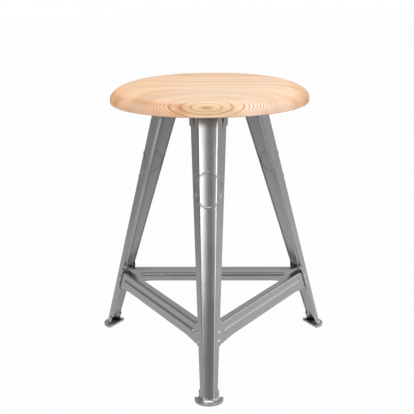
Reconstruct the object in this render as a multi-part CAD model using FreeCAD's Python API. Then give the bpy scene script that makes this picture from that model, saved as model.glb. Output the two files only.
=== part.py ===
import FreeCAD, Part
import os
from math import asin, atan, cos, degrees, pi, radians, sin, sqrt, tan

# Machinist stool: a turned wooden seat on three legs of pressed steel sheet.
# Millimetres, +Z up, the floor at Z 0 and one leg towards -Y. The origin is the
# middle of the stool's outline, so the seat's own axis stands a little behind it.

axis_behind_origin = 36.7

# Seat
seat_top = 500.0            # height of the sitting surface
seat_radius = 174.5
seat_thickness = 35.0
seat_round_width = 66.0     # the soft round-over of the upper edge, across
seat_round_depth = 27.0     # and down
seat_lower_radius = 3.0     # the crisp lower edge

# Legs: an open channel of sheet that tapers from top to foot
leg_azimuths = {"front": 270.0, "rear_left": 150.0, "rear_right": 30.0}
sheet = 1.8                 # sheet thickness
face_reach_floor = 240.1    # sharp line of a fold, from the stool's axis, at the floor
face_lean = 0.2915          # how much it comes in for each millimetre of height
face_width_floor = 19.0     # outer face between its two folds, at the floor
face_width_gain = 0.031
side_width_floor = 11.0     # side panel from fold to free edge, at the floor
side_width_gain = 0.0415
side_angle = 30.0           # a side panel spreads this much from the radial line
face_bulge = 9.0            # degrees that half the outer face curves through
fold_radius = 4.5

# The lip on the free edge of a side panel: angle of its bend in degrees, radius
# of the bend, and width past it. Folded in over most of the leg, it opens into
# a flat ear at the top, at the stretchers and at the foot.
lip_folded = (88.0, 2.5, 5.0)
top_ear = (-3.0, 8.0, 4.5)
joint_ear = (-1.2, 20.0, 5.0)
foot_ear = (-3.0, 8.0, 4.5)
lip_change = 9.0            # height over which a lip opens or closes
top_ear_low = 438.0
joint_ear_high = 125.0
joint_ear_low = 88.0
foot_ear_high = 17.0

# Foot: the sheet flares into a D-shaped rim that lies on a separate sole plate
sole_thickness = 3.0
foot_fillet = 5.0
rim_radius = 24.0
rim_centre = 223.5          # middle of the D's arc, from the stool's axis
rim_straight = 220.8        # its straight inner edge
rim_mouth = 16.5            # half the gap in the rim at the open side
rim_edge_round = 0.7
sole_edge_round = 0.5
sole_corner = 2.0

# Oval bead pressed outwards on each leg
bead_centre = 339.3
bead_half_width = 22.7
bead_half_height = 28.4
bead_line = 3.4
bead_stand = 1.0
bead_steps = 60
bead_sink = 0.6             # the bead reaches this far into the sheet
bead_groove = 0.6

# Pointed dart pressed inwards at the top of each side panel
dart_tip = 429.0
dart_tip_inset = 14.0       # from the free edge's line
dart_top_inset = 13.0
dart_half_width = 6.0       # at the top of the panel
dart_depth = 4.4
dart_skin = 0.2             # the cutting wedge starts this far outside the panel

# Seat plate: a pressed steel pan between the legs and the wood
plate_thickness = 2.6
plate_radius = 118.0
plate_rim_depth = 6.5
plate_rim_bend = 3.8
ring_inner = 36.0           # a ring pressed down for stiffness
ring_outer = 58.0
ring_slope = 4.0
ring_depth = 3.0
plate_hole = 9.0            # hole in the middle, radius

# Leg top tab: the face is bent in flat under the plate
tab_half_width = 11.0
tab_inner_reach = 79.0
tab_bend = 4.0              # outer bend radius
tab_corner = 3.0
side_top_gap = 1.2          # side panels stop this far under the plate

# Turn of each stretcher from the rear one, and the stretchers beside each leg
stretcher_turns = {"rear": 0.0, "left": 120.0, "right": 240.0}
stretcher_beside = {
    ("front", -1): "left", ("front", 1): "right",
    ("rear_left", -1): "rear", ("rear_left", 1): "left",
    ("rear_right", -1): "right", ("rear_right", 1): "rear"}

# Stretchers: leaning strips with a flange along the top and a rounded bead
stretcher_top = 121.2
web_height = 30.4           # along the lean
flange_width = 13.5
flange_bend = 3.5
flange_half = 166.0         # from the middle to the flange's outer end
flange_full = 157.0         # and to where its end starts to slope
flange_tip = 4.5            # width left at the end
bead_drop = 16.5            # middle of the bead, down the web
bead_wide = 10.0
bead_proud = 2.6
bead_half_length = 143.0
end_tab_drop = 33.5         # the ends reach lower than the web
end_tab_start = 120.0
end_tab_full = 152.0
end_gap = 4.1               # from the leg's sharp corner to the stretcher's end
end_corner = 4.0

# Fasteners
joint_rivet_heights = (109.5, 95.5)
joint_rivet_inset = 1.8     # inside the line of the folded lip
rivet_radius = 2.0
rivet_head_radius = 3.6
rivet_head_height = 1.5
top_rivet_reach = 89.0
top_rivet_side = 6.5
top_rivet_radius = 2.5
top_rivet_head_radius = 4.6
top_rivet_head_height = 2.0
top_rivet_sink = 1.4        # depth of the flush head in the plate
top_rivet_flush_radius = 4.2
screw_reach = 86.0
screw_spread = 24.0         # degrees each side of the middle between two legs
screw_radius = 2.2
screw_length = 24.0
screw_point = 6.0
screw_head_radius = 4.6
screw_head_height = 2.8
screw_slot_width = 1.2
screw_slot_depth = 1.3
washer_radius = 7.5
washer_thickness = 1.2
hole_gap = 0.05             # between a fastener and its hole, all round

# Worked out from the sizes above
seat_bottom = seat_top - seat_thickness
plate_bottom = seat_bottom - plate_thickness
rim_top = sole_thickness + sheet
foot_fillet_top = rim_top + foot_fillet
SIDE = radians(side_angle)
plane_lean = face_lean * sin(SIDE) - face_width_gain / 2 * cos(SIDE)
plane_angle = atan(plane_lean)
panel_thickness = sheet * cos(plane_angle)
bulge = radians(face_bulge)
fold_turn = pi / 2 - SIDE - bulge
fold_tangent = fold_radius * tan(fold_turn / 2)

X_AXIS = FreeCAD.Vector(1, 0, 0)
Y_AXIS = FreeCAD.Vector(0, 1, 0)
Z_AXIS = FreeCAD.Vector(0, 0, 1)
ORIGIN = FreeCAD.Vector(0, 0, 0)
upright = FreeCAD.Rotation(Y_AXIS, Z_AXIS, X_AXIS, "XYZ")


def face_reach(z):
    """Outer face of a leg, from the stool's axis."""
    return face_reach_floor - face_lean * z


def face_width(z):
    return face_width_floor + face_width_gain * z


def side_width(z):
    return side_width_floor + side_width_gain * z


def side_plane(z):
    """Outer side of a leg's side panel, from the stool's axis."""
    return face_reach(z) * sin(SIDE) + face_width(z) / 2 * cos(SIDE)


def fold_run(z):
    """Sharp corner of a leg, along the side panel's plane from its middle."""
    return face_reach(z) * cos(SIDE) - face_width(z) / 2 * sin(SIDE)


def free_run(z):
    """Free edge of a side panel with its lip folded, along the same plane."""
    return fold_run(z) - side_width(z)


class Path:
    """A line on the outside of the sheet, drawn as runs and arcs in one plane."""

    def __init__(self, x, y, heading):
        self.x = x
        self.y = y
        self.heading = heading
        self.points = [self.mark()]
        self.middles = []

    def mark(self):
        """Where the line is, and the direction out of the sheet there."""
        out = self.heading - pi / 2
        return (self.x, self.y, cos(out), sin(out))

    def run(self, length):
        self.x += length * cos(self.heading)
        self.y += length * sin(self.heading)
        self.points.append(self.mark())
        self.middles.append(None)

    def turn(self, angle, radius):
        """An arc to the left, or to the right for a negative angle."""
        reach = radius if angle > 0 else -radius
        centre_x = self.x - reach * sin(self.heading)
        centre_y = self.y + reach * cos(self.heading)
        for step in range(2):
            self.heading += angle / 2
            self.x = centre_x + reach * sin(self.heading)
            self.y = centre_y - reach * cos(self.heading)
            if step == 0:
                self.middles.append(self.mark())
        self.points.append(self.mark())


def face_arc(z):
    """The face's crown, outside the line of its folds, and its radius."""
    face_half = face_width(z) / 2 - fold_tangent * cos(bulge)
    crown = face_half * tan(bulge / 2) + fold_tangent * sin(bulge)
    return crown, face_half / sin(bulge)


def half_section(z, lip):
    """Half of a leg's outside line at one height, from the face to the lip."""
    crown, radius = face_arc(z)
    path = Path(face_reach(z) + crown, 0.0, pi / 2)
    path.turn(bulge, radius)
    path.turn(fold_turn, fold_radius)
    folded_angle, folded_radius, folded_width = lip_folded
    lip_tangent = folded_radius * tan(radians(folded_angle) / 2)
    path.run(side_width(z) - fold_tangent - lip_tangent)
    angle, radius, width = lip
    path.turn(radians(angle), radius)
    path.run(width)
    return path


def spot(mark, offset, z, side):
    x, y, out_x, out_y = mark
    return FreeCAD.Vector(x + offset * out_x, side * (y + offset * out_y), z)


def section_edges(path, offset, z):
    """The whole line at one offset, from one lip over the face to the other."""
    count = len(path.middles)
    edges = []
    for side in (-1, 1):
        steps = range(count - 1, 0, -1) if side < 0 else range(1, count)
        for i in steps:
            first, last = (i + 1, i) if side < 0 else (i, i + 1)
            start = spot(path.points[first], offset, z, side)
            end = spot(path.points[last], offset, z, side)
            if path.middles[i] is None:
                edges.append(Part.makeLine(start, end))
            else:
                middle = spot(path.middles[i], offset, z, side)
                edges.append(Part.Arc(start, middle, end).toShape())
        if side < 0:
            left = spot(path.points[1], offset, z, -1)
            crown = spot(path.points[0], offset, z, 1)
            right = spot(path.points[1], offset, z, 1)
            edges.append(Part.Arc(left, crown, right).toShape())
    return edges


def sheet_wire(z, lip, outer, inner):
    """A closed section of the sheet between two offsets of its outside line."""
    path = half_section(z, lip)
    out_edges = section_edges(path, outer, z)
    in_edges = section_edges(path, inner, z)
    last = path.points[-1]
    close_end = Part.makeLine(spot(last, outer, z, 1), spot(last, inner, z, 1))
    close_start = Part.makeLine(spot(last, inner, z, -1), spot(last, outer, z, -1))
    in_edges.reverse()
    return Part.Wire(out_edges + [close_end] + in_edges + [close_start])


def flare(z):
    """How far both sides of the sheet stand out in the fillet above the rim."""
    drop = foot_fillet_top - z
    under_radius = foot_fillet + sheet
    outer = foot_fillet - sqrt(max(foot_fillet ** 2 - drop ** 2, 0.0))
    inner = foot_fillet - sqrt(max(under_radius ** 2 - drop ** 2, 0.0))
    return outer, inner


def leg_stations():
    """Heights, lip shapes and offsets of a leg's sections, from the sole up."""
    stations = []
    root = foot_fillet + 0.3
    for share in (0.0, 0.08, 0.3, 0.6, 1.0):
        z = sole_thickness + sheet * share
        stations.append((z, foot_ear, root, flare(z)[1]))
    stations[-1] = (rim_top, foot_ear, foot_fillet, flare(rim_top)[1])
    for share in (0.03, 0.12, 0.28, 0.5, 0.75):
        z = rim_top + foot_fillet * share
        stations.append((z, foot_ear) + flare(z))
    for z, lip in (
            (foot_fillet_top, foot_ear), (foot_ear_high, foot_ear),
            (foot_ear_high + lip_change, lip_folded),
            (joint_ear_low - lip_change, lip_folded), (joint_ear_low, joint_ear),
            (joint_ear_high, joint_ear), (joint_ear_high + lip_change, lip_folded),
            (top_ear_low - lip_change, lip_folded), (top_ear_low, top_ear),
            (plate_bottom - side_top_gap, top_ear)):
        stations.append((z, lip, 0.0, -sheet))
    return stations


def d_plate(bottom, thickness, edge_round):
    """A D-shaped plate under a foot, in the leg's own frame."""
    half = sqrt(rim_radius ** 2 - (rim_centre - rim_straight) ** 2)
    low = FreeCAD.Vector(rim_straight, -half, bottom)
    high = FreeCAD.Vector(rim_straight, half, bottom)
    tip = FreeCAD.Vector(rim_centre + rim_radius, 0, bottom)
    outline = [Part.Arc(low, tip, high).toShape(), Part.makeLine(high, low)]
    plate = Part.Face(Part.Wire(outline)).extrude(Z_AXIS * thickness)
    corners = [edge for edge in plate.Edges if is_upright(edge)]
    plate = plate.makeFillet(sole_corner, corners)
    top = bottom + thickness
    rim = [edge for edge in plate.Edges
           if edge.BoundBox.ZMin > top - 0.01 and edge.BoundBox.ZLength < 0.01]
    return plate.makeFillet(edge_round, rim)


def is_upright(edge):
    box = edge.BoundBox
    return box.ZLength > 1.0 and box.XLength < 0.01 and box.YLength < 0.01


def foot_rim():
    """The flat rim of the flared sheet, open at the mouth of the channel."""
    plate = d_plate(sole_thickness, sheet, rim_edge_round)
    inside = foot_fillet + 0.15
    edges = section_edges(half_section(sole_thickness, foot_ear), inside, 0.0)
    first = edges[0].Vertexes[0].Point
    last = edges[-1].Vertexes[-1].Point
    mouth = rim_straight - 5.0
    inner = last.x - 2.0
    around = [(inner, rim_mouth), (mouth, rim_mouth), (mouth, -rim_mouth), (inner, -rim_mouth)]
    points = [last] + [FreeCAD.Vector(x, y, 0) for x, y in around] + [first]
    edges += [Part.makeLine(a, b) for a, b in zip(points, points[1:])]
    opening = Part.Face(Part.Wire(Part.__sortEdges__(edges))).extrude(Z_AXIS * 10.0)
    return plate.cut(opening)


def surface_spot(y, z):
    """Where the leg's outside is at one width and height, and its outward direction."""
    crown, radius = face_arc(z)
    face_centre = face_reach(z) + crown - radius
    across = abs(y)
    face_end = radius * sin(bulge)
    fold_x = face_centre + (radius - fold_radius) * cos(bulge)
    fold_y = face_end - fold_radius * sin(bulge)
    fold_end = fold_y + fold_radius * cos(SIDE)
    if across <= face_end:
        turn = asin(across / radius)
        x = face_centre + radius * cos(turn)
    elif across <= fold_end:
        turn = asin((across - fold_y) / fold_radius)
        x = fold_x + fold_radius * cos(turn)
    else:
        turn = pi / 2 - SIDE
        x = fold_x + fold_radius * sin(SIDE) - (across - fold_end) / tan(SIDE)
    rise = face_lean * cos(turn) - face_width_gain / 2 * sin(turn)
    out = FreeCAD.Vector(cos(turn), sin(turn) if y > 0 else -sin(turn), rise)
    return FreeCAD.Vector(x, y, z), out.normalize()


def oval_spot(angle):
    y = bead_half_width * cos(angle)
    return surface_spot(y, bead_centre + bead_half_height * sin(angle))


def bead_section(angle):
    """The rounded section of the oval bead, square to its line."""
    step = pi / bead_steps
    ahead = oval_spot(angle + step)[0] - oval_spot(angle - step)[0]
    place, out = oval_spot(angle)
    across = out.cross(ahead).normalize()
    half = bead_line / 2
    outline = [(half, -bead_sink)]
    for i in range(6):
        slope = pi * i / 5
        outline.append((half * cos(slope), bead_stand * sin(slope)))
    outline.append((-half, -bead_sink))
    corners = [place + across * x + out * y for x, y in outline]
    return Part.makePolygon(corners + [corners[0]])


def oval_bead():
    """The raised oval line, in two halves that meet."""
    halves = []
    for start in (0.0, pi):
        angles = [start + 2 * pi * i / bead_steps for i in range(bead_steps // 2 + 1)]
        halves.append(Part.makeLoft([bead_section(angle) for angle in angles], True, True))
    return halves


def oval_ring(grow_in, grow_out):
    """A tube of oval section that points along the leg's radial direction."""
    rings = []
    for grow in (grow_out, grow_in):
        major = bead_half_height + grow
        minor = bead_half_width + grow
        centre = FreeCAD.Vector(face_reach(bead_centre) - 40.0, 0, bead_centre)
        oval = Part.Ellipse(centre + Z_AXIS * major, centre + Y_AXIS * minor, centre)
        wire = Part.Wire([oval.toShape()])
        rings.append(Part.Face(wire).extrude(X_AXIS * 60.0))
    return rings[0].cut(rings[1])


def skin(outer, inner):
    """A thin layer of the leg round the oval bead, between two offsets."""
    reach = bead_half_height + 6.0
    wires = []
    for z in (bead_centre - reach, bead_centre + reach):
        wires.append(sheet_wire(z, lip_folded, outer, inner))
    return Part.makeLoft(wires, True, True)


def top_tab():
    """The leg's face bent inwards, flat under the seat plate."""
    lean = atan(face_lean)
    turn = pi / 2 - lean
    low = plate_bottom - 9.0
    crown, radius = face_arc(low)
    # the flat tab is flush with the curved face along its two edges
    flush = crown - tab_half_width ** 2 / (2 * radius)
    path = Path(face_reach(low) + flush, low, pi / 2 + lean)
    bend_rise = tab_bend * (1 - cos(turn))
    path.run((plate_bottom - low - bend_rise) / cos(lean))
    path.turn(turn, tab_bend)
    path.run(path.x - tab_inner_reach)
    outer = strip_line(path, 0.0)
    inner = strip_line(path, -sheet)
    caps = [Part.makeLine(outer[0].Vertexes[0].Point, inner[0].Vertexes[0].Point),
            Part.makeLine(outer[-1].Vertexes[-1].Point, inner[-1].Vertexes[-1].Point)]
    wire = Part.Wire(Part.__sortEdges__(outer + inner + caps))
    wire.rotate(ORIGIN, X_AXIS, 90)
    strip = Part.Face(wire).extrude(Y_AXIS * 2 * tab_half_width)
    strip.translate(Y_AXIS * -tab_half_width)
    corners = [edge for edge in strip.Edges
               if edge.BoundBox.ZLength > 1.0 and edge.BoundBox.XMax < tab_inner_reach + 0.01]
    return strip.makeFillet(tab_corner, corners)


def strip_line(path, offset):
    """The edges of a path at an offset, drawn flat in X and Y."""
    edges = []
    for i, middle in enumerate(path.middles):
        start = spot(path.points[i], offset, 0.0, 1)
        end = spot(path.points[i + 1], offset, 0.0, 1)
        if middle is None:
            edges.append(Part.makeLine(start, end))
        else:
            edges.append(Part.Arc(start, spot(middle, offset, 0.0, 1), end).toShape())
    return edges


def side_frame(z, run, side):
    """A place on a side panel's outer face in the leg's own frame, and its normal."""
    plane_azimuth = radians(60.0 * side)
    distance = side_plane(z)
    # the plane's middle lies beside the leg, and run goes from there to the leg
    x = distance * cos(plane_azimuth) + run * sin(abs(plane_azimuth))
    y = side * (distance * sin(abs(plane_azimuth)) - run * cos(plane_azimuth))
    flat = cos(plane_angle)
    out = FreeCAD.Vector(flat * cos(plane_azimuth), flat * sin(plane_azimuth), sin(plane_angle))
    return FreeCAD.Vector(x, y, z), out


def dart(side, lift, top):
    """A pointed wedge at the top of a side panel, lifted off the panel's outer face."""
    wires = []
    steepness = (dart_top_inset - dart_tip_inset) / (plate_bottom - dart_tip)
    for z, share in ((dart_tip, 0.03), (top, (top - dart_tip) / (plate_bottom - dart_tip))):
        inset = dart_tip_inset + steepness * (z - dart_tip)
        half = share * dart_half_width
        slope = dart_depth / dart_half_width
        corners = []
        for across, depth in ((-half - dart_skin / slope, -dart_skin), (0.0, share * dart_depth),
                              (half + dart_skin / slope, -dart_skin)):
            point, out = side_frame(z, free_run(z) + inset + across, side)
            corners.append(point + out * (lift - depth))
        wires.append(Part.makePolygon(corners + [corners[0]]))
    return Part.makeLoft(wires, True, True)


def joint_holes(radius):
    """Cylinders through both side panels of a leg, where the rivets go."""
    bars = []
    for side in (-1, 1):
        for z in joint_rivet_heights:
            point, out = side_frame(z, free_run(z) + joint_rivet_inset, side)
            bars.append(Part.makeCylinder(radius, 12.0, point - out * 8.0, out))
    return bars


def make_leg():
    """One leg in its own frame: the radial direction is +X."""
    wires = [sheet_wire(*station) for station in leg_stations()]
    leg = Part.makeLoft(wires, True, True)
    leg = leg.fuse([top_tab(), foot_rim()])
    leg = leg.fuse(oval_bead())
    groove = skin(-sheet + bead_groove, -sheet - 0.4)
    leg = leg.cut(groove.common(oval_ring(-bead_line / 2, bead_line / 2)))
    for side in (-1, 1):
        leg = leg.fuse(dart(side, -sheet, plate_bottom - side_top_gap))
        leg = leg.cut(dart(side, 0.0, plate_bottom))
    for bar in joint_holes(rivet_radius + hole_gap):
        leg = leg.cut(bar)
    for side in (-1, 1):
        foot = FreeCAD.Vector(top_rivet_reach, side * top_rivet_side, plate_bottom - 6.0)
        leg = leg.cut(Part.makeCylinder(top_rivet_radius + hole_gap, 8.0, foot))
    return leg.removeSplitter()


def make_sole():
    """The separate plate that a foot stands on."""
    return d_plate(0.0, sole_thickness, sole_edge_round)


def make_seat():
    """The turned seat, with pilot holes for its screws."""
    centre_r = seat_radius - seat_round_width
    equator = seat_top - seat_round_depth
    crown = FreeCAD.Vector(centre_r, 0, seat_top)
    widest = FreeCAD.Vector(seat_radius, 0, equator)
    oval = Part.Ellipse(FreeCAD.Vector(seat_radius, 0, equator), crown,
                        FreeCAD.Vector(centre_r, 0, equator))
    upper = oval.toShape(0, pi / 2)
    lower_top = FreeCAD.Vector(seat_radius, 0, seat_bottom + seat_lower_radius)
    lower_end = FreeCAD.Vector(seat_radius - seat_lower_radius, 0, seat_bottom)
    nook = seat_lower_radius * (1 - sqrt(0.5))
    lower_mid = FreeCAD.Vector(seat_radius - nook, 0, seat_bottom + nook)
    axis_bottom = FreeCAD.Vector(0, 0, seat_bottom)
    axis_top = FreeCAD.Vector(0, 0, seat_top)
    profile = Part.Wire(Part.__sortEdges__([
        Part.makeLine(axis_top, crown), upper, Part.makeLine(widest, lower_top),
        Part.Arc(lower_top, lower_mid, lower_end).toShape(),
        Part.makeLine(lower_end, axis_bottom), Part.makeLine(axis_bottom, axis_top)]))
    seat = Part.Face(profile).revolve(ORIGIN, Z_AXIS, 360)
    depth = screw_length - plate_thickness - washer_thickness + 1.0
    for x, y in screw_places():
        foot = FreeCAD.Vector(x, y, seat_bottom - 1.0)
        seat = seat.cut(Part.makeCylinder(screw_radius + hole_gap, depth + 1.0, foot))
    return seat


def screw_places():
    places = []
    for middle in (90.0, 210.0, 330.0):
        for side in (-1, 1):
            azimuth = radians(middle + side * screw_spread)
            places.append((screw_reach * cos(azimuth), screw_reach * sin(azimuth)))
    return places


def make_plate():
    """The pressed pan under the seat."""
    top, bottom = seat_bottom, plate_bottom
    rim_low = top - plate_rim_depth
    inner_bend = plate_rim_bend - plate_thickness
    outline = [(plate_hole, top), (ring_inner, top), (ring_inner + ring_slope, top - ring_depth),
               (ring_outer - ring_slope, top - ring_depth), (ring_outer, top)]
    under = [(ring_outer + 1.0, bottom), (ring_outer - ring_slope + 1.0, bottom - ring_depth),
             (ring_inner + ring_slope - 1.0, bottom - ring_depth), (ring_inner - 1.0, bottom),
             (plate_hole, bottom)]
    points = [FreeCAD.Vector(r, 0, z) for r, z in outline]
    edges = [Part.makeLine(a, b) for a, b in zip(points, points[1:])]
    shoulder = FreeCAD.Vector(plate_radius - plate_rim_bend, 0, top)
    edges.append(Part.makeLine(points[-1], shoulder))
    nook = plate_rim_bend * (1 - sqrt(0.5))
    edge_top = FreeCAD.Vector(plate_radius, 0, top - plate_rim_bend)
    bend_mid = FreeCAD.Vector(plate_radius - nook, 0, top - nook)
    edges.append(Part.Arc(shoulder, bend_mid, edge_top).toShape())
    edge_low = FreeCAD.Vector(plate_radius, 0, rim_low)
    inner_low = FreeCAD.Vector(plate_radius - plate_thickness, 0, rim_low)
    inner_top = FreeCAD.Vector(plate_radius - plate_thickness, 0, bottom - inner_bend)
    inner_end = FreeCAD.Vector(plate_radius - plate_rim_bend, 0, bottom)
    inner_nook = inner_bend * (1 - sqrt(0.5))
    inner_mid = FreeCAD.Vector(plate_radius - plate_thickness - inner_nook, 0, bottom - inner_nook)
    edges.append(Part.makeLine(edge_top, edge_low))
    edges.append(Part.makeLine(edge_low, inner_low))
    edges.append(Part.makeLine(inner_low, inner_top))
    edges.append(Part.Arc(inner_top, inner_mid, inner_end).toShape())
    back = [inner_end] + [FreeCAD.Vector(r, 0, z) for r, z in under] + [points[0]]
    edges += [Part.makeLine(a, b) for a, b in zip(back, back[1:])]
    plate = Part.Face(Part.Wire(edges)).revolve(ORIGIN, Z_AXIS, 360)
    for x, y in screw_places():
        foot = FreeCAD.Vector(x, y, plate_bottom - 2.0)
        plate = plate.cut(Part.makeCylinder(screw_radius + hole_gap, 8.0, foot))
    for azimuth in leg_azimuths.values():
        for rivet in top_rivets(hole_gap):
            plate = plate.cut(turned(rivet, azimuth))
    return plate


def revolve_profile(points, base, direction):
    """Turns an outline of (radius, height) pairs about a line from base."""
    corners = [FreeCAD.Vector(r, 0, h) for r, h in points]
    wire = Part.makePolygon(corners + [corners[0]])
    solid = Part.Face(wire).revolve(ORIGIN, Z_AXIS, 360)
    turn = FreeCAD.Rotation(Z_AXIS, direction)
    solid.Placement = FreeCAD.Placement(base, turn)
    return solid


def domed_head(radius, height, base, direction):
    """A low round head that stands on base."""
    ball = (radius ** 2 + height ** 2) / (2 * height)
    centre = base + direction * (height - ball)
    sphere = Part.makeSphere(ball, centre)
    keep = Part.makeCylinder(radius + 1.0, height + 1.0, base, direction)
    return sphere.common(keep)


def top_rivets(grow=0.0):
    """The two rivets that hold a leg to the plate, in the leg's own frame."""
    rivets = []
    for side in (-1, 1):
        base = FreeCAD.Vector(top_rivet_reach, side * top_rivet_side, plate_bottom - sheet)
        length = sheet + plate_thickness
        radius = top_rivet_radius + grow
        flush = top_rivet_flush_radius + grow
        shank = revolve_profile([(0, 0), (radius, 0), (radius, length - top_rivet_sink),
                                 (flush, length), (0, length)], base, Z_AXIS)
        if grow == 0.0:
            head = domed_head(top_rivet_head_radius, top_rivet_head_height, base, Z_AXIS * -1)
            shank = shank.fuse(head)
        rivets.append(shank)
    return rivets


def joint_rivets(side):
    """The rivets of one side panel: a round head outside, a smaller one inside."""
    rivets = []
    for z in joint_rivet_heights:
        point, out = side_frame(z, free_run(z) + joint_rivet_inset, side)
        depth = panel_thickness + sheet
        inside = point - out * depth
        shank = Part.makeCylinder(rivet_radius, depth, inside, out)
        outer_head = domed_head(rivet_head_radius, rivet_head_height, point, out)
        inner_head = domed_head(rivet_head_radius - 0.5, rivet_head_height, inside, out * -1)
        rivets.append(shank.fuse([outer_head, inner_head]).removeSplitter())
    return rivets


def make_stretcher():
    """One stretcher in its own frame: X along it and +Y out of the stool."""
    slant = plane_angle
    path = Path(0.0, -web_height, pi / 2)
    turn = pi / 2 - slant
    tangent = flange_bend * tan(turn / 2)
    path.run(web_height - tangent)
    path.turn(turn, flange_bend)
    path.run(flange_width - tangent)
    outer = strip_line(path, 0.0)
    inner = strip_line(path, -sheet)
    caps = [Part.makeLine(outer[0].Vertexes[0].Point, inner[0].Vertexes[0].Point),
            Part.makeLine(outer[-1].Vertexes[-1].Point, inner[-1].Vertexes[-1].Point)]
    wire = Part.Wire(Part.__sortEdges__(outer + inner + caps))
    # the section was drawn with X out of the stool and Y up the web
    wire.Placement = FreeCAD.Placement(FreeCAD.Vector(-flange_half, 0, 0), upright)
    strip = Part.Face(wire).extrude(X_AXIS * 2 * flange_half)
    strip = strip.common(flange_outline())
    strip = strip.fuse([end_tab(-1), end_tab(1)])
    strip = strip.fuse(bead_shape(0.0).common(slab(-sheet, bead_proud + 1.0)))
    strip = strip.cut(bead_shape(sheet).common(slab(-sheet - 1.0, bead_proud + 1.0)))
    for side in (-1, 1):
        for z in joint_rivet_heights:
            spot_x = side * (free_run(z) + joint_rivet_inset)
            # a rivet stands square to the panel, so it meets the web a little lower
            meeting = z - panel_thickness * sin(slant)
            height = (meeting - stretcher_top) / cos(slant)
            start = FreeCAD.Vector(spot_x, -sheet - 2.0, height)
            strip = strip.cut(Part.makeCylinder(rivet_radius + hole_gap, 6.0, start, Y_AXIS))
    strip = strip.removeSplitter()
    strip.rotate(ORIGIN, X_AXIS, degrees(slant))
    strip.translate(FreeCAD.Vector(0, side_plane(stretcher_top) - sheet, stretcher_top))
    return strip


def slab(low, high):
    """Everything between two distances from the web's outer face."""
    corner = FreeCAD.Vector(-200.0, low, -60.0)
    return Part.makeBox(400.0, high - low, 80.0, corner)


def flange_outline():
    """The strip's outline seen from above: the flange's ends slope in."""
    full, tip, half = flange_full, flange_tip, flange_half
    deep = -flange_width - 5.0
    half_outline = [(half, 5.0), (half, -tip), (full, -flange_width * 0.98), (full, deep)]
    points = [FreeCAD.Vector(x, y, -60.0) for x, y in half_outline]
    points += [FreeCAD.Vector(-x, y, -60.0) for x, y in reversed(half_outline)]
    points.append(points[0])
    return Part.Face(Part.makePolygon(points)).extrude(Z_AXIS * 80.0)


def end_run(height):
    """Where a stretcher ends, at a height along its web below the top."""
    return fold_run(stretcher_top + height * cos(plane_angle)) - end_gap


def end_tab(side):
    """The flat end that goes inside a leg, a little taller than the web."""
    top = -flange_bend
    low = -end_tab_drop
    outline = [(end_tab_start, top), (end_run(top), top), (end_run(low), low),
               (end_tab_full, low), (end_tab_start, -web_height)]
    points = [FreeCAD.Vector(side * x, -sheet, z) for x, z in outline]
    plate = Part.Face(Part.makePolygon(points + [points[0]])).extrude(Y_AXIS * sheet)
    corners = [edge for edge in plate.Edges
               if edge.BoundBox.YLength > 1.0 and abs(edge.BoundBox.XMax) > end_tab_full + 3.0
               and abs(edge.BoundBox.XMin) > end_tab_full + 3.0]
    return plate.makeFillet(end_corner, corners)


def bead_shape(inset):
    """A rounded bar with ball ends that bulges out of the web as a bead."""
    half_wide = bead_wide / 2
    radius = (half_wide ** 2 + bead_proud ** 2) / (2 * bead_proud)
    start = FreeCAD.Vector(-bead_half_length + half_wide, bead_proud - radius, -bead_drop)
    length = 2 * (bead_half_length - half_wide)
    bar = Part.makeCylinder(radius - inset, length, start, X_AXIS)
    ends = (start, start + X_AXIS * length)
    return bar.fuse([Part.makeSphere(radius - inset, end) for end in ends])


def turned(shape, azimuth):
    copy = shape.copy()
    copy.rotate(ORIGIN, Z_AXIS, azimuth)
    return copy


def make_screws(places):
    """Slotted round-head wood screws, driven up into the seat."""
    screws = []
    for x, y in places:
        base = FreeCAD.Vector(x, y, plate_bottom - washer_thickness)
        tip = screw_length - screw_point
        outline = [(0, 0), (screw_radius, 0), (screw_radius, tip), (0.4, screw_length), (0, screw_length)]
        shank = revolve_profile(outline, base, Z_AXIS)
        head = domed_head(screw_head_radius, screw_head_height, base, Z_AXIS * -1)
        below = base.z - screw_head_height - 1.0
        slot_low = FreeCAD.Vector(x - 10.0, y - screw_slot_width / 2, below)
        slot = Part.makeBox(20.0, screw_slot_width, screw_slot_depth + 1.0, slot_low)
        screws.append(shank.fuse(head.cut(slot)).removeSplitter())
    return screws


def make_washers(places):
    washers = []
    for x, y in places:
        base = FreeCAD.Vector(x, y, plate_bottom - washer_thickness)
        disc = Part.makeCylinder(washer_radius, washer_thickness, base)
        hole = Part.makeCylinder(screw_radius + hole_gap, washer_thickness + 2.0, base - Z_AXIS)
        washers.append(disc.cut(hole))
    return washers


def save(name, solids):
    """Moves the solids to the stool's origin and writes them as one piece."""
    shape = solids[0] if len(solids) == 1 else Part.makeCompound(solids)
    shape = shape.copy()
    shape.translate(Y_AXIS * axis_behind_origin)
    shape.exportStep("parts/" + name + ".step")
    print(name, len(shape.Solids), shape.isValid(), round(shape.Volume))


def one_solid(shape):
    """The only solid of a shape."""
    solids = shape.Solids
    if len(solids) != 1:
        raise ValueError("expected one solid, found " + str(len(solids)))
    return solids[0]


os.makedirs("parts", exist_ok=True)
save("seat", [one_solid(make_seat())])
save("seat_plate", [one_solid(make_plate())])
save("seat_screws", make_screws(screw_places()))
save("seat_washers", make_washers(screw_places()))

leg = one_solid(make_leg())
sole = one_solid(make_sole())
for name, azimuth in leg_azimuths.items():
    save("leg_" + name, [turned(leg, azimuth)])
    save("sole_" + name, [turned(sole, azimuth)])
    save("top_rivets_" + name, [turned(rivet, azimuth) for rivet in top_rivets()])
    for side in (-1, 1):
        stretcher = stretcher_beside[(name, side)]
        rivets = [turned(rivet, azimuth) for rivet in joint_rivets(side)]
        save("joint_rivets_" + name + "_" + stretcher, rivets)

stretcher = one_solid(make_stretcher())
for name, turn in stretcher_turns.items():
    save("stretcher_" + name, [turned(stretcher, turn)])
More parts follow.
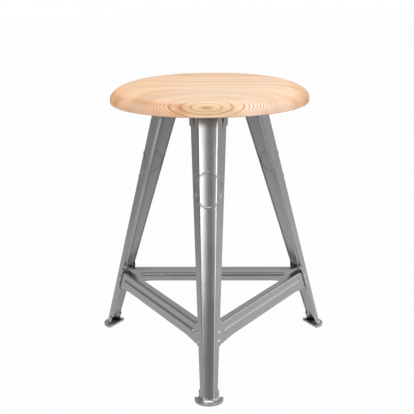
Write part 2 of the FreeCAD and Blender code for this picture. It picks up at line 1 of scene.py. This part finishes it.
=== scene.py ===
# %% [markdown]
# # A machinist stool
#
# This lesson dresses a low shop stool: a turned wooden seat on three legs of
# pressed steel sheet. The pieces come from the imported frame with their true
# shapes and sizes, in metres. Here they get their wood and their metal, and a
# plain studio to stand in.
#
# We start by loading the frame.

# %% Load the frame
from math import radians

import bpy
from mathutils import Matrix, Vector

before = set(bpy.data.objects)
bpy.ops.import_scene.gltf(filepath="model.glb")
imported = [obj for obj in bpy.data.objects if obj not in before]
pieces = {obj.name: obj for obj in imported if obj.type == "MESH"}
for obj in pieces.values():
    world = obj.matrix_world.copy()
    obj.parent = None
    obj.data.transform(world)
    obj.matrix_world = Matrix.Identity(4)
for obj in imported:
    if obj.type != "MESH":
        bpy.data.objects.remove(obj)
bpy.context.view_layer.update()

print("pieces in the frame:", len(pieces))

# %% [markdown]
# ## Camera
#
# The stool was photographed from the front with a fairly long lens, a little
# above the seat. A long lens keeps the legs' taper honest: a short one would
# make the front foot look too big. The camera stands about 1.7 m away and looks
# down by 15 degrees.

# %% Camera
scene = bpy.context.scene
lens = bpy.data.cameras.new("photo_camera")
lens.lens = 84.13
lens.sensor_width = 36.0
lens.clip_start = 0.1
lens.clip_end = 50.0
camera = bpy.data.objects.new("photo_camera", lens)
camera.location = (0.04251, -1.65447, 0.733)
camera.rotation_euler = (radians(74.755), radians(0.569), radians(1.505))
scene.collection.objects.link(camera)
scene.camera = camera
print("camera at", tuple(round(c, 3) for c in camera.location))

# %% [markdown]
# ## Helpers for node materials
#
# Every finish below is a small tree of shader nodes. The first helper adds a
# node with its settings, the second starts a material. The others are the few
# kinds of node that the trees use again and again: sums, products, soft steps,
# colour ramps, tints and stretched noise.

# %% Helpers: nodes and numbers
def add_node(tree, kind, inputs=None, **settings):
    """Add a node. An input is a plain value or another node's output."""
    node = tree.nodes.new(kind)
    for name, value in settings.items():
        setattr(node, name, value)
    for name, value in (inputs or {}).items():
        if isinstance(value, bpy.types.NodeSocket):
            tree.links.new(value, node.inputs[name])
        else:
            node.inputs[name].default_value = value
    return node


def start_material(name):
    material = bpy.data.materials.new(name)
    material.use_nodes = True
    tree = material.node_tree
    return material, tree, tree.nodes["Principled BSDF"]


def math_node(tree, operation, a, b=0.0, c=0.0):
    return add_node(tree, "ShaderNodeMath", {0: a, 1: b, 2: c}, operation=operation).outputs[0]


def product(tree, first, *others):
    for value in others:
        first = math_node(tree, "MULTIPLY", first, value)
    return first


def total(tree, first, *others):
    for value in others:
        first = math_node(tree, "ADD", first, value)
    return first


def fade(tree, value, start, end, low=0.0, high=1.0, step="SMOOTHSTEP"):
    """A soft step: low where the value is at start, high where it is at end."""
    return add_node(tree, "ShaderNodeMapRange", {
        "Value": value, "From Min": start, "From Max": end, "To Min": low, "To Max": high},
        interpolation_type=step).outputs[0]


print("helpers for numbers are ready")


# %% Helpers: colours and noise
def grey(level):
    return (level, level, level)


def colour_ramp(tree, factor, stops):
    ramp = add_node(tree, "ShaderNodeValToRGB", {"Fac": factor})
    points = ramp.color_ramp.elements
    while len(points) < len(stops):
        points.new(0.5)
    for point, (place, colour) in zip(points, stops):
        point.position = place
        point.color = (*colour, 1.0)
    return ramp.outputs["Color"]


def mixed_colours(tree, amount, first, second, blend="MIX"):
    """Go from the first colour to the second. The sockets 6 and 7 hold the colours."""
    return add_node(tree, "ShaderNodeMix", {0: amount, 6: first, 7: second},
                    data_type="RGBA", blend_type=blend).outputs[2]


def stretched_noise(tree, place, scale, detail=1.0, roughness=0.5):
    """Noise that is drawn out more along the axes with a small scale."""
    spread = add_node(tree, "ShaderNodeMapping", {"Vector": place, "Scale": scale}).outputs[0]
    return add_node(tree, "ShaderNodeTexNoise", {
        "Vector": spread, "Scale": 1.0, "Detail": detail, "Roughness": roughness})


print("helpers for colours are ready")

# %% [markdown]
# ## Wood for the seat
#
# The seat is pale softwood with its grain from side to side. Real wood isn't
# painted on: the year rings go right through the block, and turning the seat
# cuts them open. So the pattern is made in space. Rings are circles round an
# axis that lies along X, far below the seat. On the flat top they come out as
# long lines and arches, on the round front edge as nested ovals, and at the two
# ends as tight stripes. Slow noise bends the rings, as a living tree does.
#
# The outermost years in this block are 4 mm wide. Further in the rings lie
# closer, so more years are added with depth. Sizes are in metres.

# %% Wood: the year rings
heart = (0.0, 0.128, 0.250)     # a point on the rings' axis
bark = 0.3503                   # from the axis to the outermost wood in the seat
ring_width = 0.0040
ring_phase = 0.26               # sets where in a year the outermost wood stops

wood, tree, shader = start_material("pale_wood")
place = add_node(tree, "ShaderNodeTexCoord").outputs["Object"]
slow_bend = stretched_noise(tree, place, (2.6, 8.0, 8.0), 1.0, 0.4).outputs["Color"]
centred = add_node(tree, "ShaderNodeVectorMath", {
    0: slow_bend, 1: (0.5, 0.5, 0.5)}, operation="SUBTRACT").outputs[0]
bend = add_node(tree, "ShaderNodeVectorMath", {
    0: centred, 1: (0.0, 0.006, 0.008)}, operation="MULTIPLY").outputs[0]
bent = add_node(tree, "ShaderNodeVectorMath", {0: place, 1: bend}, operation="ADD").outputs[0]
from_heart = add_node(tree, "ShaderNodeMapping", {
    "Vector": bent, "Location": tuple(-c for c in heart), "Scale": (0.0, 1.0, 1.0)}).outputs[0]
distance = add_node(tree, "ShaderNodeVectorMath", {0: from_heart}, operation="LENGTH").outputs["Value"]
depth = math_node(tree, "SUBTRACT", distance, bark)     # negative inside the bark

even_years = product(tree, depth, 1.0 / ring_width)
last_years = fade(tree, depth, -0.0022, 0.0, 0.0, 0.90, step="LINEAR")
inner_years = fade(tree, depth, -0.110, -0.009, -19.0, 0.0, step="LINEAR")
uneven = add_node(tree, "ShaderNodeTexNoise", {
    "W": product(tree, distance, 140.0), "Scale": 1.0, "Detail": 1.0},
    noise_dimensions="1D").outputs["Fac"]
years = total(tree, even_years, product(tree, uneven, 0.5), total(tree, last_years, inner_years))
in_year = math_node(tree, "FRACT", math_node(tree, "SUBTRACT", years, ring_phase))
print("year rings are up to", ring_width * 1000, "mm wide")

# %% [markdown]
# Within one year the wood starts pale and soft in spring, darkens slowly to a
# thin line of late wood, and then falls back sharply. Fine fibres and wider
# streaks run along the grain: noise that is stretched many times in X. The
# block isn't even either. The rings are drawn faint on the flat top and clear
# on the rounded edge and at the back.

# %% Wood: how dark it is
along, back, up = add_node(tree, "ShaderNodeSeparateXYZ", {0: place}).outputs
season = colour_ramp(tree, in_year, [
    (0.0, grey(0.40)), (0.10, grey(0.0)), (0.68, grey(0.12)), (0.88, grey(0.75)), (0.95, grey(1.0))])
fibre = stretched_noise(tree, place, (14.0, 620.0, 620.0), 3.0, 0.6).outputs["Fac"]
streak = stretched_noise(tree, place, (7.0, 150.0, 150.0), 2.0, 0.5).outputs["Fac"]
band = stretched_noise(tree, place, (3.5, 48.0, 48.0), 2.0, 0.5).outputs["Fac"]
cloud = stretched_noise(tree, place, (6.0, 20.0, 20.0), 2.0).outputs["Fac"]

# The rings are drawn faint on the flat top and clear on the rounded edge and at the back.
ring_contrast = math_node(tree, "MAXIMUM", fade(tree, up, 0.4900, 0.4830, 0.28, 0.85),
                     fade(tree, back, 0.08, 0.13, 0.0, 0.75))
patchy = fade(tree, cloud, 0.30, 0.60, 0.70, 1.0)
rings = product(tree, season, product(tree, ring_contrast, patchy))
grain = total(tree, product(tree, fibre, 0.22), product(tree, streak, 0.22),
              fade(tree, band, 0.40, 0.66, 0.0, 0.26))
darkness = total(tree, product(tree, rings, 0.70), grain)
tone = colour_ramp(tree, darkness, [
    (0.0, (0.90, 0.69, 0.53)), (0.30, (0.84, 0.60, 0.42)),
    (0.60, (0.73, 0.47, 0.28)), (1.0, (0.48, 0.28, 0.13))])
print("wood nodes so far:", len(tree.nodes))

# %% [markdown]
# One colour doesn't do for the whole block. Its left part is warmer. At the two
# ends the fibres are cut across and soak up the finish. On top of that, painted
# shade darkens the right one and painted light brightens the left one. The lower
# half of the edge is painted darker than the upper half as painted shade, where
# the light from above falls less, most of all at the front oval and on the left
# of it. A painted sheen makes the top of the edge in front and the back paler and
# cooler, and painted shade darkens the seat's bottom face. Each of these is a
# soft zone with its own tint. A tint is multiplied in, so the grain shows
# through.

# %% Wood: tints, painted shade and painted light
left_part = fade(tree, total(tree, along, product(tree, cloud, 0.08)), 0.06, -0.12)
# Painted shade: the lower half of the edge is darker, where the light from above falls less.
painted_shade_low_edge = fade(tree, up, 0.490, 0.482)
# Mask for painted shade on the left of the front oval.
painted_shade_left_mask = product(tree, fade(tree, along, -0.015, -0.050), fade(tree, along, -0.140, -0.090))
tints = {
    "left part": (left_part, (0.98, 0.90, 0.80)),
    # Darker end grain, with painted shade on top of it.
    "right end": (fade(tree, along, 0.128, 0.172), (0.83, 0.68, 0.50)),
    # Warmer end grain, brightened as painted light.
    "left end": (fade(tree, along, -0.128, -0.172), (1.12, 1.0, 0.84)),
    # Painted shade at the front oval, a little warmer too.
    "oval in front": (product(tree, fade(tree, depth, -0.012, -0.003), painted_shade_low_edge), (0.86, 0.86, 0.80)),
    "lower edge": (painted_shade_low_edge, (0.93, 0.93, 0.97)),
    # Painted shade on the left of the front oval, more orange too.
    "left of the oval": (product(tree, painted_shade_low_edge, painted_shade_left_mask), (0.85, 0.71, 0.58)),
    # Painted sheen: paler and cooler high on the edge in front.
    "upper edge in front": (product(tree, fade(tree, back, -0.050, -0.100),
                                    fade(tree, up, 0.484, 0.490)), (0.90, 0.98, 1.10)),
    # Painted sheen: paler and cooler at the back of the top.
    "back": (fade(tree, back, 0.10, 0.17), (1.08, 1.16, 1.22)),
    # Painted shade on the seat's bottom face.
    "underside": (fade(tree, up, 0.4668, 0.4654), (0.60, 0.64, 0.70))}
for name, (amount, tint) in tints.items():
    tone = mixed_colours(tree, amount, tone, (*tint, 1.0), "MULTIPLY")
    print("tinted zone:", name, tint)

# %% [markdown]
# Low on the edge, left and right of the oval, the rings meet the surface at a flat
# angle and stand out as pale and brown stripes. The pale stripes are also a
# painted highlight: they are lit pinkish-white where the varnish catches the side
# lamps. They fade out at the oval and at the ends. The late wood is harder than
# the spring wood and stays a little proud, which a faint relief shows.

# %% Wood: stripes low on the edge, and the surface
aside = math_node(tree, "ABSOLUTE", along)
beside_oval = product(tree, fade(tree, aside, 0.040, 0.070), fade(tree, aside, 0.135, 0.115))
ring_stripes_and_highlight = product(tree, fade(tree, up, 0.486, 0.479), beside_oval,
                  fade(tree, cloud, 0.35, 0.60, 0.45, 1.0), 0.60)
brown = (0.50, 0.25, 0.12)
# Pale stripe colour, lightened pinkish-white as a painted highlight.
pale = (0.92, 0.74, 0.64)
stripes = colour_ramp(tree, in_year, [(0.0, brown), (0.30, pale), (0.55, pale), (0.85, brown)])
tone = mixed_colours(tree, ring_stripes_and_highlight, tone, stripes)
tree.links.new(tone, shader.inputs["Base Color"])
tree.links.new(math_node(tree, "MULTIPLY_ADD", darkness, 0.16, 0.46), shader.inputs["Roughness"])
relief = add_node(tree, "ShaderNodeBump", {
    "Height": total(tree, product(tree, season, 0.5), fibre), "Strength": 0.12, "Distance": 0.0004})
tree.links.new(relief.outputs[0], shader.inputs["Normal"])
shader.inputs["Specular IOR Level"].default_value = 0.18
shader.inputs["Coat Weight"].default_value = 0.05
shader.inputs["Coat Roughness"].default_value = 0.30
print("wood nodes:", len(tree.nodes))

# %% [markdown]
# ## Satin steel
#
# Legs, stretchers and feet are bare sheet with a satin finish. The metal is
# neutral grey and fairly smooth, so it mirrors the soft lights without becoming
# a mirror. Broad stains, as oil and hands leave them, change its tone and its
# roughness by a few percent. A faint grain lies over them. It runs up and down
# on the legs and level on the stretchers, the way the sheet was drawn.

# %% Steel: one recipe for several finishes
stain_size = 16.0       # noise scale: stains of some six centimetres
stain_share = 0.85      # the rest is the fine grain


def steel(name, base, roughness, grain_scale, grain_depth):
    material, tree, shader = start_material(name)
    place = add_node(tree, "ShaderNodeTexCoord").outputs["Object"]
    grain = stretched_noise(tree, place, grain_scale, 2.0).outputs["Fac"]
    stain = add_node(tree, "ShaderNodeTexNoise", {
        "Vector": place, "Scale": stain_size, "Detail": 2.0, "Roughness": 0.5}).outputs["Fac"]
    wear = total(tree, product(tree, grain, 1.0 - stain_share), product(tree, stain, stain_share))
    darker = tuple(c * 0.95 for c in base)
    lighter = tuple(c * 1.03 for c in base)
    tone = colour_ramp(tree, wear, [(0.30, darker), (0.52, base), (0.72, lighter)])
    tree.links.new(tone, shader.inputs["Base Color"])
    rubbed = math_node(tree, "MULTIPLY_ADD", wear, 0.06, roughness - 0.03)
    tree.links.new(rubbed, shader.inputs["Roughness"])
    shader.inputs["Metallic"].default_value = 1.0
    bump = add_node(tree, "ShaderNodeBump", {
        "Height": grain, "Strength": grain_depth, "Distance": 0.00001})
    tree.links.new(bump.outputs[0], shader.inputs["Normal"])
    print("steel finish:", material.name)
    return material


sheet_grey = (0.34, 0.345, 0.35)
leg_steel = steel("leg_steel", sheet_grey, 0.24, (420.0, 420.0, 9.0), 0.04)
stretcher_steel = steel("stretcher_steel", sheet_grey, 0.23, (40.0, 40.0, 420.0), 0.10)
sole_steel = steel("sole_steel", (0.36, 0.365, 0.37), 0.28, (300.0, 300.0, 300.0), 0.12)
plate_steel = steel("plate_steel", (0.30, 0.302, 0.305), 0.38, (220.0, 220.0, 220.0), 0.20)
rivet_steel = steel("rivet_steel", (0.46, 0.46, 0.465), 0.26, (500.0, 500.0, 500.0), 0.10)
zinc = steel("bright_zinc", (0.62, 0.62, 0.61), 0.26, (500.0, 500.0, 500.0), 0.12)

# %% Give each piece its finish
finishes = {
    "seat_plate": plate_steel, "seat_screws": zinc, "seat_washers": zinc,
    "leg_": leg_steel, "stretcher_": stretcher_steel, "sole_": sole_steel,
    "joint_rivets_": rivet_steel, "top_rivets_": rivet_steel, "seat": wood}
for name, piece in pieces.items():
    finish = next(f for start, f in finishes.items() if name.startswith(start))
    piece.data.materials.clear()
    piece.data.materials.append(finish)
    print(name, "gets", finish.name)

# %% [markdown]
# ## Floor and backdrop
#
# The stool stands on a plain white floor. Its full white is seen by the camera
# only, so the lamps can stay at a plain level and the soft shadows under the
# feet stay. Polished metal needs something darker to mirror as well, or it
# looks like paper. So reflections see a floor with painted light and shade: it
# is painted pale close to the stool and grey further out, and a painted pool of
# window light brightens it on the right.

# %% Floor: what reflections find in it
bpy.ops.mesh.primitive_circle_add(vertices=96, radius=9.0, fill_type="NGON")
floor = bpy.context.object
floor.name = "studio_floor"
floor_white, tree, shader = start_material("floor_white")
shader.inputs["Base Color"].default_value = (0.75, 0.75, 0.75, 1.0)
shader.inputs["Roughness"].default_value = 0.9
shader.inputs["Specular IOR Level"].default_value = 0.0
on_floor = add_node(tree, "ShaderNodeTexCoord").outputs["Object"]
floor_x, floor_y, _ = add_node(tree, "ShaderNodeSeparateXYZ", {0: on_floor}).outputs
round_stool = add_node(tree, "ShaderNodeMapping", {
    "Vector": on_floor, "Location": (0.0, -0.3, 0.0), "Scale": (0.6, 1.0, 1.0)}).outputs[0]
reach = add_node(tree, "ShaderNodeVectorMath", {0: round_stool}, operation="LENGTH").outputs["Value"]
# Painted shade: in reflections the floor turns grey further from the stool.
painted_floor_shade = fade(tree, reach, 0.15, 1.25, 0.86, 0.50)
# Painted light: a pool of window light on the right, seen in reflections only.
painted_window_pool = product(tree, fade(tree, floor_x, -0.1, 0.45), fade(tree, floor_y, -0.9, -0.2),
                    fade(tree, floor_y, 1.4, 0.6, 0.6, 1.0))
# What reflections see of the floor: painted light and shade.
painted_floor_in_reflections = add_node(tree, "ShaderNodeMix", {"Factor": painted_window_pool, "A": painted_floor_shade, "B": 1.0}).outputs[0]
print("floor radius", round(floor.dimensions.x / 2, 2), "m")

# %% Floor: white for the camera
rays = add_node(tree, "ShaderNodeLightPath").outputs
straight = math_node(tree, "MAXIMUM", rays["Is Camera Ray"], rays["Is Transmission Ray"])
white = add_node(tree, "ShaderNodeEmission", {
    "Color": (1.0, 1.0, 1.0, 1.0), "Strength": math_node(tree, "MAXIMUM", straight, painted_floor_in_reflections)})
seen = math_node(tree, "MAXIMUM", straight, rays["Is Glossy Ray"])
white_or_lit = add_node(tree, "ShaderNodeMixShader", {
    0: product(tree, seen, 0.97), 1: shader.outputs[0], 2: white.outputs[0]})
tree.links.new(white_or_lit.outputs[0], tree.nodes["Material Output"].inputs["Surface"])
floor.data.materials.append(floor_white)
print("floor nodes:", len(tree.nodes))

# %% [markdown]
# ## Light
#
# Satin steel is mostly a picture of what stands round it. Two stands of soft
# panels flank the camera, with a dark gap between them. The front leg's face
# mirrors the gap, and its folds mirror the panels as bright lines, so the
# channel shape can be read. Each stand has three panels, one above the other:
# a bright box, a softer apron and a faint skirt near the floor. That lets the
# bright lines fade towards the foot. A narrow veil fills a part of the gap and
# gives the leg's face its soft left half. One large box over the stool lights
# the wood.
#
# The world is the rest of the room: dark behind the camera, paler behind the
# stool, a little darker on the left, and with a bright window on the right.

# %% World
world = bpy.data.worlds.new("studio")
scene.world = world
world.use_nodes = True
tree = world.node_tree
background = tree.nodes["Background"]
direction = add_node(tree, "ShaderNodeTexCoord").outputs["Generated"]
rightwards, backwards, upwards = add_node(tree, "ShaderNodeSeparateXYZ", {0: direction}).outputs
room = colour_ramp(tree, math_node(tree, "MULTIPLY_ADD", backwards, 0.5, 0.5), [
    (0.0, grey(0.27)), (0.05, grey(0.31)), (0.15, grey(0.42)), (0.5, grey(0.42)), (1.0, grey(0.68))])
shade = fade(tree, rightwards, -0.3, -0.8, 1.0, 0.7)
window = product(tree, fade(tree, rightwards, 0.25, 0.75), fade(tree, upwards, -0.02, 0.20, 0.0, 0.95))
shaded = add_node(tree, "ShaderNodeVectorMath", {0: room, "Scale": shade}, operation="SCALE").outputs[0]
lit_room = add_node(tree, "ShaderNodeVectorMath", {0: shaded, 1: window}, operation="ADD").outputs[0]
rays = add_node(tree, "ShaderNodeLightPath").outputs
straight = math_node(tree, "MAXIMUM", rays["Is Camera Ray"], rays["Is Transmission Ray"])
sky = mixed_colours(tree, straight, lit_room, (1.0, 1.0, 1.0, 1.0))
tree.links.new(sky, background.inputs["Color"])
background.inputs["Strength"].default_value = 1.0
print("world nodes:", len(tree.nodes))


# %% Lamps
def soft_lamp(name, place, size, power, target=None):
    """A soft panel. Without a target it faces the stool's front at its own height."""
    target = target or (0.0, -0.2, place[2])
    light = bpy.data.lights.new(name, "AREA")
    light.shape = "RECTANGLE"
    light.size, light.size_y = size
    light.energy = power
    lamp = bpy.data.objects.new(name, light)
    lamp.location = place
    lamp.rotation_euler = (Vector(target) - Vector(place)).to_track_quat("-Z", "Y").to_euler()
    scene.collection.objects.link(lamp)
    print(name, "at", place, "power", power)


soft_lamp("left_box", (-0.98, -1.52, 1.01), (1.20, 0.54), 8.3)
soft_lamp("left_apron", (-0.98, -1.52, 0.62), (1.20, 0.24), 2.5)
soft_lamp("left_skirt", (-0.98, -1.52, 0.275), (1.20, 0.45), 1.15)
soft_lamp("left_veil", (-0.42, -1.80, 0.93), (0.42, 0.70), 1.3)
soft_lamp("right_box", (1.00, -1.51, 1.01), (1.05, 0.54), 7.4)
soft_lamp("right_apron", (1.00, -1.51, 0.62), (1.05, 0.24), 1.5)
soft_lamp("right_skirt", (1.00, -1.51, 0.275), (1.05, 0.45), 1.17)
soft_lamp("top_box", (-0.2, -0.4, 2.25), (1.3, 1.1), 17.0, target=(0.0, -0.13, 0.3))

# %% Standard colours
scene.view_settings.view_transform = "Standard"
print("view transform:", scene.view_settings.view_transform)
